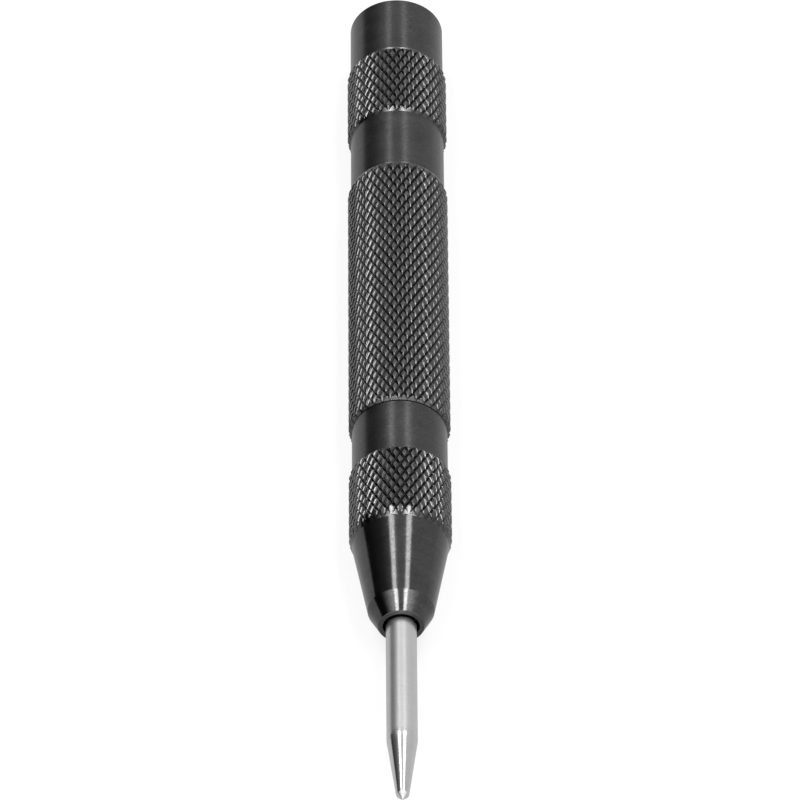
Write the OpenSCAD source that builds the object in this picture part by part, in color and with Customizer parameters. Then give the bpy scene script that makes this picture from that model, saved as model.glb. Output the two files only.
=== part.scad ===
// Automatic centre punch with an adjustable cap.
// Every piece is turned about one axis. It is drawn upright, with the tip of the point at z = 0,
// and then laid along Y on its knurled bands, with the point towards -Y.

/* [Point] */
// Diameter of the point's parallel part
point_d = 3.7; // [3.2:0.1:4.2]
// Length of the point that stands out of the nose at rest
point_reach = 27.5; // [24:0.5:32]
// Length of the long taper behind the tip
taper_len = 8.4; // [6:0.1:11]
// Diameter where the tip cone starts
tip_d = 1.55; // [1.2:0.05:1.9]
// Full angle of the tip cone
tip_angle = 90; // [60:1:120]
// Radial step from the point to its shank
shank_step = 0.55; // [0.4:0.05:0.7]
// Length of the shank that is pressed into the plunger
shank_len = 6; // [4:0.5:7]
// Radial depth of the neck where the point enters the nose
neck_depth = 0.2; // [0.16:0.01:0.3]
// Distance of that neck in front of the nose
neck_lead = 0.1; // [0.1:0.05:0.3]

/* [Knurling] */
// Diameter over the crests of the knurling
knurl_d = 12.4; // [12.2:0.1:13.4]
// Distance between neighbouring grooves, square to them
knurl_pitch = 1; // [0.8:0.1:1.3]
// Angle between the grooves and the axis of the tool
knurl_angle = 30; // [25:1:40]
// Depth from crest to hollow
knurl_depth = 0.35; // [0.25:0.01:0.38]
// How far the smooth lands lie below the crests
land_drop = 0.4; // [0.4:0.05:0.5]

/* [Nosepiece] */
// Thickness of the lip around the point
lip_wall = 0.65; // [0.5:0.05:0.9]
// Radial gap around the point at the mouth
mouth_gap = 0.25; // [0.15:0.05:0.35]
// Depth of the wider mouth
mouth_depth = 2; // [1:0.5:3]
// Length of the short blunt cone
lip_cone_len = 2.5; // [2:0.1:3.5]
// Diameter where the two cones meet
cone_d = 8; // [7.2:0.1:8.8]
// Length of the long cone
cone_len = 10.4; // [9:0.1:13]
// Length of the knurled band on the nosepiece
nose_knurl_len = 11; // [9:0.5:14]
// Length of the smooth collar
collar_len = 8.1; // [7:0.1:11]
// Solid length from the lip to the seat of the plunger
nose_floor = 11; // [9:0.5:12.5]

/* [Barrel] */
// Length of the barrel, knurled from end to end
barrel_len = 41; // [39:0.5:48]
// Width of the ledge that clamps the bush
bush_ledge = 0.45; // [0.35:0.05:0.6]

/* [Cap] */
// Length of the smooth land
cap_land_len = 9.3; // [7:0.1:12]
// Length of the knurled band on the cap
cap_knurl_len = 11; // [9:0.5:14]
// Length of the smooth head
cap_head_len = 9.2; // [7:0.1:12]
// Chamfer on the edge of the head
head_chamfer = 0.3; // [0.1:0.05:0.5]
// Thickness of the closed end
cap_end_wall = 5; // [3.5:0.5:6]
// How far the cap unscrews from full to least force
cap_lift = 4; // [2:0.5:5]

/* [Threads] */
// Outside diameter of both threads, drawn as plain cylinders
thread_d = 10; // [9.8:0.1:10.2]
// Height of the thread
thread_height = 0.6; // [0.5:0.05:0.7]
// Wall of the spigots below the thread
spigot_wall = 0.9; // [0.8:0.05:1]
// Length of thread that always stays engaged
thread_grip = 4; // [3.5:0.5:5]
// Length of the spigot on the nosepiece
nose_spigot_len = 7; // [6:0.5:8]
// Length of the relief groove beside each shoulder
relief_len = 1; // [0.6:0.1:1.4]

/* [Mechanism] */
// Stroke of the point and of the hammer
stroke = 8; // [6:0.5:8.5]
// Spare travel of the hammer before it meets the cap
hammer_float = 1; // [0.5:0.1:2]
// Length of the hammer's tail, inside the main spring
tail_len = 6; // [3:0.5:8]
// Diameter of the drive pin
stem_d = 3; // [2.6:0.1:3.1]
// Length of the drive pin's collar
pin_collar_len = 3; // [2:0.5:3.5]
// Distance below the hammer at which the drive pin stops
pin_gap = 0.3; // [0.1:0.1:0.5]
// Length of the plunger's guiding part
plunger_guide_len = 6.5; // [5:0.5:7]
// Diameter of the plunger's neck
plunger_neck_d = 5.2; // [4.6:0.1:5.4]
// Thickness of the bush's flange
bush_flange = 2; // [1.5:0.1:2.5]
// Length of the bush's sleeve
bush_sleeve_len = 6.5; // [5:0.5:6.5]
// Wall of the bush's sleeve
bush_wall = 0.55; // [0.45:0.05:0.65]
// Length of the lead-in at the mouth of the bush
bush_lead = 1; // [0.6:0.1:1.5]
// Thickness of the spring seat's disc
seat_disc = 2.5; // [1.5:0.5:3]
// Length of the seat's stem, inside the main spring
seat_stem_len = 4.5; // [3:0.5:6]
// Height of the pip on which the cap turns
pip_len = 1.5; // [0.8:0.1:2]
// Diameter of the top of the pip
pip_d = 1.5; // [1:0.1:2]

/* [Springs] */
// Wire of the main spring
main_wire = 1.2; // [1:0.05:1.3]
// Turns of the main spring
main_turns = 13; // [11:1:15]
// Wire of the return spring
return_wire = 0.5; // [0.4:0.05:0.6]
// Turns of the return spring
return_turns = 6; // [5:1:7]
// Length of the return spring at full stroke
return_pressed = 4.5; // [4:0.5:5]
// Mean diameter of the return spring at the drive pin
return_small_d = 4.2; // [4:0.05:4.4]
// Clear gap between the close turns at each end
end_turn_gap = 0.5; // [0.45:0.05:0.7]

/* [Clearances] */
// Radial gap of the point in its guide
guide_gap = 0.05; // [0.02:0.01:0.1]
// Radial gap of the sliding pieces
slide_gap = 0.1; // [0.05:0.01:0.12]
// Radial gap between screwed pieces
thread_gap = 0.05; // [0.02:0.01:0.1]
// Radial gap between a spring and what it stands in or around
spring_gap = 0.25; // [0.15:0.05:0.3]
// Gap between a spring's wire and its seat
seat_gap = 0.05; // [0.02:0.01:0.1]

/* [Node] */
// Piece to draw

/* [Hidden] */
$fn = 96;
black_steel = "#35353a";
bright_steel = "#c2c4c6";
spring_steel = "#8b8f94";
// How far a cutter reaches past the face it opens
over = 1;
// Small chamfer on inner edges
edge = 0.3;
// Rings in each turn of a spring, and sides of each ring
turn_rings = 8;
wire_sides = 6;

// Outer radii
knurl_r = knurl_d / 2;
hollow_r = knurl_r - knurl_depth;
land_r = knurl_r - land_drop;
point_r = point_d / 2;
tip_r = tip_d / 2;
tip_len = tip_r / tan(tip_angle / 2);
neck_r = point_r - neck_depth;
shank_r = point_r - shank_step;
mouth_r = point_r + mouth_gap;
lip_r = mouth_r + lip_wall;
thread_r = thread_d / 2;
core_r = thread_r - thread_height;

// Inner radii
guide_r = point_r + guide_gap;
bore_r = core_r - spigot_wall;
female_r = thread_r + thread_gap;
bush_seat_r = core_r + 2 * thread_gap;
bush_r = core_r;
hammer_bore_r = bush_r - bush_ledge;
hammer_r = hammer_bore_r - slide_gap;
plunger_r = bore_r - slide_gap;
sleeve_r = bore_r - thread_gap;
sleeve_bore_r = sleeve_r - bush_wall;
pin_collar_r = sleeve_bore_r - slide_gap;
stem_r = stem_d / 2;
stem_hole_r = stem_r + slide_gap;
seat_r = bore_r - slide_gap;
main_mean_r = bore_r - spring_gap - main_wire / 2;
tail_r = main_mean_r - main_wire / 2 - spring_gap;
return_top_r = sleeve_bore_r - spring_gap - return_wire / 2;
return_low_r = return_small_d / 2;

// Stations along the axis, from the tip
z_nose = point_reach;
z_cone = z_nose + lip_cone_len;
z_nose_knurl = z_cone + cone_len;
z_collar = z_nose_knurl + nose_knurl_len;
z_barrel = z_collar + collar_len;
z_cap = z_barrel + barrel_len;
z_cap_knurl = z_cap + cap_land_len;
z_cap_head = z_cap_knurl + cap_knurl_len;
z_end = z_cap_head + cap_head_len;
z_plunger = z_nose + nose_floor;
z_bush = z_barrel + nose_spigot_len;
z_sleeve = z_bush - bush_sleeve_len;
z_hammer = z_bush + bush_flange;
z_cap_spigot = z_cap - cap_lift - thread_grip;
z_hammer_top = z_cap_spigot - hammer_float - stroke;
z_pin_top = z_hammer - pin_gap;
z_pin_collar = z_bush - return_pressed - stroke;
z_pin = z_pin_collar - pin_collar_len;
z_neck = z_plunger + plunger_guide_len;
z_cap_floor = z_end - cap_end_wall;
z_seat_top = z_cap_floor - pip_len;
z_seat = z_seat_top - seat_disc;

// Knurling: grooves around the tool, and half the height of one diamond
knurl_starts = round(PI * knurl_d * cos(knurl_angle) / knurl_pitch);
knurl_row = PI * knurl_d / knurl_starts / tan(knurl_angle) / 2;

// A solid of revolution from points given as radius and height.
module turned(points) {
    rotate_extrude() polygon(points);
}

// Lays an upright piece along Y.
module laid() {
    translate([0, -z_end / 2, knurl_r]) rotate([-90, 0, 0]) children();
}

// A band of diamond knurling. Its points stand in rows, with crests and hollows taking turns as on
// a chessboard, and each cell is split along the groove that joins its two hollows.
module knurl_band(z0, len) {
    rows = max(2, round(len / knurl_row));
    cols = 2 * knurl_starts;
    function is_hollow(i, k) = k == 0 || k == rows || (i + k) % 2 == 0;
    function at(i, k) = k * cols + i % cols;
    points = [for (k = [0:rows], i = [0:cols - 1])
        let (a = 360 * i / cols, r = is_hollow(i, k) ? hollow_r : knurl_r)
        [r * cos(a), r * sin(a), z0 + len * k / rows]];
    sides = [for (k = [0:rows - 1], i = [0:cols - 1]) each (i + k) % 2 == 0
        ? [[at(i, k), at(i, k + 1), at(i + 1, k + 1)], [at(i, k), at(i + 1, k + 1), at(i + 1, k)]]
        : [[at(i, k), at(i, k + 1), at(i + 1, k)], [at(i + 1, k), at(i, k + 1), at(i + 1, k + 1)]]];
    low_end = [for (i = [0:cols - 1]) at(i, 0)];
    high_end = [for (i = [cols - 1:-1:0]) at(i, rows)];
    polyhedron(points, concat(sides, [low_end, high_end]));
}

// A round wire wound from z0 to z1, from radius r0 to radius r1, with one close turn at each end.
module coil(name, z0, z1, r0, r1, wire, turns) {
    wire_r = wire / 2;
    last = turns * turn_rings;
    close_rise = wire + end_turn_gap;
    open_rise = (z1 - z0 - wire - 2 * close_rise) / (turns - 2);
    function rise(t) = min(t, 1) * close_rise + max(0, min(t, turns - 1) - 1) * open_rise
        + max(0, t - turns + 1) * close_rise;
    function centre(i) = let (t = i / turn_rings, a = 360 * t, r = r0 + (r1 - r0) * t / turns)
        [r * cos(a), r * sin(a), z0 + wire_r + rise(t)];
    function ring(i) = let (a = 360 * i / turn_rings, c = centre(i))
        [for (j = [0:wire_sides - 1]) let (b = 360 * j / wire_sides + 90)
            c + wire_r * [cos(b) * cos(a), cos(b) * sin(a), sin(b)]];
    function at(i, j) = i * wire_sides + j % wire_sides;
    points = [for (i = [0:last]) each ring(i)];
    sides = [for (i = [0:last - 1], j = [0:wire_sides - 1])
        each [[at(i, j), at(i + 1, j + 1), at(i + 1, j)], [at(i, j), at(i, j + 1), at(i + 1, j + 1)]]];
    start = [for (j = [wire_sides - 1:-1:0]) at(0, j)];
    finish = [for (j = [0:wire_sides - 1]) at(last, j)];
    gaps = [for (i = [0:last - turn_rings]) norm(centre(i + turn_rings) - centre(i)) - wire];
    echo(str(name, ": least gap between turns ", min(gaps), " mm"));
    polyhedron(points, concat(sides, [start, finish]));
}

module barrel() {
    color(black_steel) difference() {
        knurl_band(z_barrel, barrel_len);
        turned([[0, z_barrel - over], [female_r + edge, z_barrel - over],
            [female_r + edge, z_barrel], [female_r, z_barrel + edge], [female_r, z_bush],
            [bush_seat_r, z_bush], [bush_seat_r, z_hammer], [hammer_bore_r, z_hammer],
            [hammer_bore_r, z_cap_spigot - edge], [female_r, z_cap_spigot - edge],
            [female_r, z_cap - edge], [female_r + edge, z_cap],
            [female_r + edge, z_cap + over], [0, z_cap + over]]);
    }
}

module nosepiece() {
    color(black_steel) difference() {
        union() {
            turned([[0, z_nose], [lip_r, z_nose], [cone_d / 2, z_cone], [land_r, z_nose_knurl],
                [land_r, z_barrel], [core_r, z_barrel], [core_r, z_barrel + relief_len],
                [thread_r, z_barrel + relief_len + thread_height], [thread_r, z_bush - thread_height],
                [core_r, z_bush], [0, z_bush]]);
            knurl_band(z_nose_knurl, nose_knurl_len);
        }
        turned([[0, z_nose - over], [mouth_r, z_nose - over], [mouth_r, z_nose + mouth_depth],
            [guide_r, z_nose + mouth_depth + mouth_gap], [guide_r, z_plunger], [bore_r, z_plunger],
            [bore_r, z_bush + over], [0, z_bush + over]]);
    }
}

module release_bush() {
    lead_r = sleeve_bore_r + bush_wall / 2;
    color(bright_steel) turned([[lead_r, z_sleeve], [sleeve_r, z_sleeve], [sleeve_r, z_bush],
        [bush_r, z_bush], [bush_r, z_hammer], [stem_hole_r + edge, z_hammer],
        [stem_hole_r, z_hammer - edge], [stem_hole_r, z_bush], [sleeve_bore_r, z_bush],
        [sleeve_bore_r, z_sleeve + bush_lead]]);
}

module return_spring() {
    color(spring_steel) coil("return_spring", z_pin_collar + seat_gap, z_bush - seat_gap,
        return_low_r, return_top_r, return_wire, return_turns);
}

module punch_point() {
    z_neck_start = z_nose - neck_lead;
    z_neck_end = z_nose + mouth_depth;
    color(bright_steel) turned([[0, 0], [tip_r, tip_len], [point_r, tip_len + taper_len],
        [point_r, z_neck_start], [neck_r, z_neck_start + neck_depth], [neck_r, z_neck_end - neck_depth],
        [point_r, z_neck_end], [point_r, z_plunger], [shank_r, z_plunger],
        [shank_r, z_plunger + shank_len], [0, z_plunger + shank_len]]);
}

module plunger() {
    dimple_depth = stem_r / 2;
    color(spring_steel) difference() {
        turned([[0, z_plunger], [plunger_r - edge, z_plunger], [plunger_r, z_plunger + edge],
            [plunger_r, z_neck - edge], [plunger_r - edge, z_neck], [plunger_neck_d / 2, z_neck],
            [plunger_neck_d / 2, z_pin], [0, z_pin]]);
        turned([[0, z_plunger - over], [shank_r, z_plunger - over],
            [shank_r, z_plunger + shank_len + edge], [0, z_plunger + shank_len + edge]]);
        turned([[0, z_pin - dimple_depth], [stem_r, z_pin], [stem_r, z_pin + over], [0, z_pin + over]]);
    }
}

module drive_pin() {
    foot_r = stem_r - guide_gap;
    color(bright_steel) turned([[0, z_pin - foot_r / 2], [foot_r, z_pin], [pin_collar_r - edge, z_pin],
        [pin_collar_r, z_pin + edge], [pin_collar_r, z_pin_collar - edge],
        [pin_collar_r - edge, z_pin_collar], [stem_r, z_pin_collar], [stem_r, z_pin_top - edge],
        [stem_r - edge, z_pin_top], [0, z_pin_top]]);
}

module hammer() {
    hole_top = z_hammer + stroke + 2 * over;
    color(spring_steel) difference() {
        turned([[0, z_hammer], [hammer_r - edge, z_hammer], [hammer_r, z_hammer + edge],
            [hammer_r, z_hammer_top - edge], [hammer_r - edge, z_hammer_top], [tail_r, z_hammer_top],
            [tail_r, z_hammer_top + tail_len - edge], [tail_r - edge, z_hammer_top + tail_len],
            [0, z_hammer_top + tail_len]]);
        turned([[0, z_hammer - over], [stem_hole_r, z_hammer - over], [stem_hole_r, hole_top],
            [0, hole_top + stem_hole_r / 2]]);
    }
}

module main_spring() {
    color(spring_steel) coil("main_spring", z_hammer_top + seat_gap, z_seat - seat_gap,
        main_mean_r, main_mean_r, main_wire, main_turns);
}

module spring_seat() {
    color(bright_steel) turned([[0, z_seat - seat_stem_len], [tail_r - edge, z_seat - seat_stem_len],
        [tail_r, z_seat - seat_stem_len + edge], [tail_r, z_seat], [seat_r, z_seat],
        [seat_r, z_seat_top], [pip_d, z_seat_top], [pip_d / 2, z_cap_floor], [0, z_cap_floor]]);
}

module cap() {
    color(black_steel) difference() {
        union() {
            turned([[0, z_cap_spigot], [core_r, z_cap_spigot], [thread_r, z_cap_spigot + thread_height],
                [thread_r, z_cap - relief_len - thread_height], [core_r, z_cap - relief_len],
                [core_r, z_cap], [land_r, z_cap], [land_r, z_end - head_chamfer],
                [land_r - head_chamfer, z_end], [0, z_end]]);
            knurl_band(z_cap_knurl, cap_knurl_len);
        }
        turned([[0, z_cap_spigot - over], [bore_r, z_cap_spigot - over], [bore_r, z_cap_floor],
            [0, z_cap_floor]]);
    }
}

laid() barrel();
laid() nosepiece();
laid() release_bush();
laid() return_spring();
laid() punch_point();
laid() plunger();
laid() drive_pin();
laid() hammer();
laid() main_spring();
laid() spring_seat();
laid() cap();
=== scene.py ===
"""Automatic centre punch: fine shapes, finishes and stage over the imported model.

Every piece is turned about one axis along Y, with the point towards -Y. Lengths are in metres,
and the settings give them in millimetres.
"""

from math import atan2, cos, pi, radians, sin, tan

import bmesh
import bpy
import numpy as np
from bpy.props import FloatProperty, FloatVectorProperty, IntProperty, PointerProperty
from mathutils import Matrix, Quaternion, Vector


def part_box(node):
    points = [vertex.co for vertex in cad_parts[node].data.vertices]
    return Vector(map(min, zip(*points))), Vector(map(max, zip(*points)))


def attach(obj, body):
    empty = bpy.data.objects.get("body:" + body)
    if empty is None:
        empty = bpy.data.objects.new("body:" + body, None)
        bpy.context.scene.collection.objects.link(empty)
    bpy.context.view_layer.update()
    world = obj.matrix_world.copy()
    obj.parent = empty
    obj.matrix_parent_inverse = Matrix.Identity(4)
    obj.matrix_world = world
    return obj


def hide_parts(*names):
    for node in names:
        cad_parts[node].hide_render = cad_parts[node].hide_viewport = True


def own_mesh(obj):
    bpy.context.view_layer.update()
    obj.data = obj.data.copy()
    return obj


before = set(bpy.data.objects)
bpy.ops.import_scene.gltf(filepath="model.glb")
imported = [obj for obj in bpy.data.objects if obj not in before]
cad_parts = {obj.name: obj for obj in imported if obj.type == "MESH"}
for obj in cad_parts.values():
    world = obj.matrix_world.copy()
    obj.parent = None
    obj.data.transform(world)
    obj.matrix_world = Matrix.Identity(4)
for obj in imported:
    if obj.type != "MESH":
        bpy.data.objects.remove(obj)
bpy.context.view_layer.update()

bl_info = {
    "name": "Automatic centre punch",
    "version": (1, 0, 0),
    "blender": (4, 5, 0),
    "location": "View3D > Sidebar > Centre punch",
    "description": "Builds the pieces, finishes and stage of an automatic centre punch",
    "category": "Object",
}

MM = 0.001
MICRON = 0.000001
TURN = 2 * pi

# Names that meshes, node trees and materials share
UV_NAME = "Turned"
KNURLED = "knurled"
THREADED = "threaded"
CREST = "crest"
TURNED_STEEL = "Turned black steel"
KNURLED_STEEL = "Knurled black steel"
GROUND_STEEL = "Ground steel"
HARDENED_STEEL = "Hardened steel"
SPRING_STEEL = "Spring steel"


def span(node):
    """The lowest and highest place of a CAD node along the tool."""
    low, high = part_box(node)
    return low.y, high.y


def radius_of(node):
    """The largest radius of a CAD node."""
    low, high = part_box(node)
    return (high.x - low.x) / 2


BARREL_LOW, BARREL_HIGH = span("barrel")
NOSE_LIP, NOSE_SPIGOT_END = span("nosepiece")
CAP_SPIGOT_END, CAP_TOP = span("cap")
POINT_TIP, POINT_END = span("punch_point")
KNURL_RADIUS = radius_of("barrel")
AXIS_Z = (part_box("barrel")[0].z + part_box("barrel")[1].z) / 2
PLUNGER_SEAT = span("plunger")[0]
BUSH_TOP = span("release_bush")[1]
SPRING_SEAT_TOP = span("spring_seat")[1]


# Settings

def length(name, description, millimetres):
    """A size, shown in the scene's units."""
    return FloatProperty(name=name, description=description, default=millimetres * MM, unit="LENGTH",
                         precision=5)


def share(name, description, default):
    """A share from nothing to all."""
    return FloatProperty(name=name, description=description, default=default, min=0.0, max=1.0,
                         subtype="FACTOR")


def number(name, description, default, least=0.0):
    """A plain number."""
    return FloatProperty(name=name, description=description, default=default, min=least)


def whole(name, description, default):
    """A whole number."""
    return IntProperty(name=name, description=description, default=default, min=1)


def tilt(name, description, degrees):
    """An angle that is given in degrees."""
    return FloatProperty(name=name, description=description, default=radians(degrees),
                         subtype="ANGLE")


def grey(name, description, value):
    """A neutral linear colour with alpha."""
    return FloatVectorProperty(name=name, description=description, default=(value, value, value, 1.0),
                               size=4, min=0.0, max=1.0, subtype="COLOR")


def mesh_fineness(default):
    """How finely a knurled band is divided."""
    return whole("Mesh steps", "Mesh steps across one pitch", default)


def slash_width(default):
    """How wide the grooves of one hand are cut."""
    return share("Slash share", "Half width of a groove that climbs to the right, in pitches", default)


def backslash_width(default):
    """How wide the grooves of the other hand are cut."""
    return share("Backslash share", "Half width of a groove that climbs to the left, in pitches", default)


class KnurlSizes(bpy.types.PropertyGroup):
    """The diamond pattern that all three knurled bands share."""

    pitch: length("Pitch", "Distance between neighbouring grooves, square to them", 0.974)
    angle: tilt("Angle", "Angle between the grooves and the axis", 29)
    groove_angle: tilt("Groove angle", "Angle between the two sides of a groove", 90)
    flank_curve: number("Flank curve", "How much a groove's sides flatten towards the top", 1.4, 1.0)
    land_drop: length("Land drop", "How far the smooth lands lie below the crests", 0.4)


class BarrelSizes(bpy.types.PropertyGroup):
    """The tube that is knurled from end to end."""

    mesh_steps: mesh_fineness(10)
    slash_share: slash_width(0.28)
    backslash_share: backslash_width(0.2)
    top_drop: length("Top drop", "Radial size of the chamfer at the cap", 0.3)
    top_run: length("Top run", "Length of the chamfer at the cap", 0.8)
    foot_drop: length("Foot drop", "Radial size of the chamfer at the nosepiece", 0.4)
    foot_run: length("Foot run", "Length of the chamfer at the nosepiece", 0.4)
    bore_lead: length("Bore lead", "Chamfer at each end of the bore", 0.3)


class NosepieceSizes(bpy.types.PropertyGroup):
    """The nose with its two cones, knurled band and collar."""

    lip_radius: length("Lip radius", "Radius of the blunt end around the point", 2.75)
    lip_round: length("Lip round", "Rounding of the blunt end", 0.2)
    mouth_radius: length("Mouth radius", "Radius of the hole around the point", 2.1)
    mouth_depth: length("Mouth depth", "Depth of the wider mouth", 2.0)
    mouth_lead: length("Mouth lead", "Chamfer at the edge of the mouth", 0.12)
    guide_lead: length("Guide lead", "Length of the slope from the mouth to the point's guide", 0.25)
    short_cone: length("Short cone", "Length of the blunt cone", 2.5)
    cone_radius: length("Cone radius", "Radius where the two cones meet", 4.0)
    cone_round: length("Cone round", "Rounding where the two cones meet", 0.15)
    long_cone: length("Long cone", "Length of the slender cone", 10.4)
    collar_round: length("Collar round", "Rounding of the collar's edge", 0.1)
    seam: length("Seam", "Open seam between the collar and the barrel", 0.1)
    knurl_length: length("Knurl length", "Length of the knurled band", 11.0)
    mesh_steps: mesh_fineness(12)
    slash_share: slash_width(0.28)
    backslash_share: backslash_width(0.25)
    top_drop: length("Top drop", "Radial size of the chamfer at the collar", 0.12)
    top_run: length("Top run", "Length of the chamfer at the collar", 0.08)
    foot_drop: length("Foot drop", "Radial size of the chamfer at the cone", 0.4)
    foot_run: length("Foot run", "Length of the chamfer at the cone", 1.2)


class CapSizes(bpy.types.PropertyGroup):
    """The screwed cap with its land, knurled band and head."""

    seat_gap: length("Seat gap", "Gap between the cap's land and the barrel", 0.02)
    land_round: length("Land round", "Rounding of the land's edge at the barrel", 0.15)
    head_length: length("Head length", "Length of the smooth head", 9.2)
    neck_depth: length("Neck depth", "Depth of the fine groove under the head", 0.12)
    neck_length: length("Neck length", "Length of the fine groove under the head", 0.36)
    neck_rise: length("Neck rise", "Length of the slope from that groove to the head", 0.16)
    head_round: length("Head round", "Rounding of the edge of the head", 0.18)
    knurl_length: length("Knurl length", "Length of the knurled band", 11.0)
    mesh_steps: mesh_fineness(12)
    slash_share: slash_width(0.28)
    backslash_share: backslash_width(0.22)
    top_drop: length("Top drop", "Radial size of the chamfer at the head", 0.1)
    top_run: length("Top run", "Length of the chamfer at the head", 0.08)
    foot_drop: length("Foot drop", "Radial size of the chamfer at the land", 0.4)
    foot_run: length("Foot run", "Length of the chamfer at the land", 0.54)


class ThreadSizes(bpy.types.PropertyGroup):
    """The right-hand screw threads that join cap, barrel and nosepiece."""

    radius: length("Radius", "Outside radius of the threads", 5.0)
    height: length("Height", "Height of the thread", 0.6)
    pitch: length("Pitch", "Rise of one turn", 1.0)
    relief: length("Relief", "Length of the plain groove beside each shoulder", 1.0)
    gap: length("Gap", "Gap between pieces that fit together", 0.05)
    turn_rows: whole("Turn rows", "Mesh rows in one turn", 8)


class PointSizes(bpy.types.PropertyGroup):
    """The bright point."""

    end_radius: length("End radius", "Radius of the flat at the very end", 0.05)
    tip_radius: length("Tip radius", "Radius where the tip cone starts", 0.775)
    tip_length: length("Tip length", "Length of the tip cone", 0.775)
    tip_round: length("Tip round", "Rounding where the tip cone starts", 0.1)
    taper: length("Taper", "Length of the long taper behind the tip", 8.4)
    taper_round: length("Taper round", "Rounding where the taper ends", 3.0)
    neck_depth: length("Neck depth", "Radial depth of the neck at the mouth of the nose", 0.2)
    neck_lead: length("Neck lead", "Distance of that neck in front of the nose", 0.1)
    shank_radius: length("Shank radius", "Radius of the end pressed into the plunger", 1.3)
    columns: whole("Columns", "Mesh columns around the point", 128)


class SpringSizes(bpy.types.PropertyGroup):
    """The two springs inside the tool."""

    main_wire: length("Main wire", "Wire diameter of the main spring", 1.2)
    main_turns: number("Main turns", "Turns of the main spring", 13.0)
    return_wire: length("Return wire", "Wire diameter of the return spring", 0.5)
    return_turns: number("Return turns", "Turns of the return spring", 6.0)
    return_low: length("Return low", "Mean radius of the return spring at the plunger", 2.1)
    end_gap: length("End gap", "Clear gap between the close turns at each end", 0.5)
    stroke: length("Stroke", "How far the point and the hammer travel", 8.0)


class FinishColours(bpy.types.PropertyGroup):
    """Colours of the steels, as their reflection at right angles."""

    oxide: grey("Oxide", "Blackened steel", 0.135)
    thick_oxide: grey("Thick oxide", "Blackened steel where the finish lies thickest", 0.085)
    # Painted shade and grain: this dark colour is painted into the bottoms of the knurling's grooves as
    # shade, and is also the dark grain of the blackened finishes
    groove_shade_and_grain: grey("Hollow", "Bottom of the knurling's grooves", 0.012)
    rubbed: grey("Rubbed", "Edges and crests where the finish is rubbed thin", 0.16)
    ground: grey("Ground", "Bright ground steel", 0.75)
    dull_ground: grey("Dull ground", "Ground steel in its deeper scratches", 0.66)
    hardened: grey("Hardened", "Hardened steel inside the tool", 0.46)
    spring: grey("Spring", "Drawn spring wire", 0.36)


class StageSettings(bpy.types.PropertyGroup):
    """Camera, floor and lamps."""

    elevation: tilt("Elevation", "Height of the camera above the horizon", 45.8)
    roll: tilt("Roll", "Turn of the camera about its view", -0.48)
    distance: length("Distance", "Distance from the camera to the tool", 1084.9)
    lens: FloatProperty(name="Lens", description="Focal length", default=401.0, unit="CAMERA")
    aim: length("Aim", "Place along the tool that the camera looks at", 0.06)
    aside: length("Aside", "How far to the right of the axis the camera stands", 0.08)
    lamp_height: length("Lamp height", "Height of the two rows of lamps", 600.0)
    lamp_width: length("Lamp width", "Width of each lamp", 120.0)
    key_offset: length("Key offset", "Distance of the front lamps from the middle", 165.0)
    key_front: length("Key front", "Front end of the front lamps", -400.0)
    key_rear: length("Key rear", "Rear end of the front lamps", 170.0)
    key_radiance: number("Key radiance", "Brightness of the front lamps", 8.0)
    strip_offset: length("Strip offset", "Distance of the middle lamps from the middle", 207.0)
    strip_rear: length("Strip rear", "Rear end of the middle lamps", 395.0)
    strip_radiance: number("Strip radiance", "Brightness of the middle lamps", 4.6)
    tail_offset: length("Tail offset", "Distance of the rear lamps from the middle", 200.0)
    tail_rear: length("Tail rear", "Rear end of the rear lamps", 950.0)
    tail_radiance: number("Tail radiance", "Brightness of the rear lamps", 0.75)
    sky_dark: number("Dark sky", "Brightness of the world at the left", 0.1)
    sky_light: number("Light sky", "Brightness of the world at the right", 0.6)
    sky_edge: share("Sky edge", "Share of the dark sky that is left at the far left", 0.2)
    side_glow: number("Side glow", "Brightness of the world beside the front lamps", 2.2)
    front_glow: number("Front glow", "Brightness that the world gains low in front", 1.0)
    floor_size: length("Floor size", "Distance from the middle of the floor to its sides", 4000.0)
    floor_colour: grey("Floor", "Colour of the floor", 0.2)
    floor_lift: share("Floor lift", "Light that the floor adds where the camera sees it", 0.78)
    floor_shine: share("Floor shine", "Light that the floor adds where metal shows it", 0.3)


SETTINGS = {
    "punch_knurl": KnurlSizes,
    "punch_barrel": BarrelSizes,
    "punch_nosepiece": NosepieceSizes,
    "punch_cap": CapSizes,
    "punch_thread": ThreadSizes,
    "punch_point": PointSizes,
    "punch_springs": SpringSizes,
    "punch_finish": FinishColours,
    "punch_stage": StageSettings,
}


# Node trees

GEOMETRY = "NodeSocketGeometry"
FLOAT = "NodeSocketFloat"
MATERIAL = "NodeSocketMaterial"


class Link:
    """An output of a node. Arithmetic with it adds Math nodes to its tree."""

    def __init__(self, tree, socket):
        self.tree = tree
        self.socket = socket

    def __add__(self, other):
        return maths("ADD", self, other)

    def __sub__(self, other):
        return maths("SUBTRACT", self, other)

    def __rsub__(self, other):
        return maths("SUBTRACT", other, self)

    def __mul__(self, other):
        return maths("MULTIPLY", self, other)

    def __truediv__(self, other):
        return maths("DIVIDE", self, other)

    def __rtruediv__(self, other):
        return maths("DIVIDE", other, self)


def feed(socket, value):
    """Sets a socket's value, or links it to the output that feeds it."""
    if isinstance(value, Link):
        value.tree.links.new(value.socket, socket)
    else:
        socket.default_value = value


def add_node(tree, kind, inputs=None, **settings):
    """Adds a node. Each input is a value or a link."""
    node = tree.nodes.new(kind)
    for name, value in settings.items():
        setattr(node, name, value)
    for key, value in (inputs or {}).items():
        feed(node.inputs[key], value)
    return node


def output(tree, kind, inputs=None, key=0, **settings):
    """Adds a node and gives one of its outputs."""
    return Link(tree, add_node(tree, kind, inputs, **settings).outputs[key])


def outputs(tree, node):
    """A node's outputs by their names."""
    return {socket.name: Link(tree, socket) for socket in node.outputs}


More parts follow.
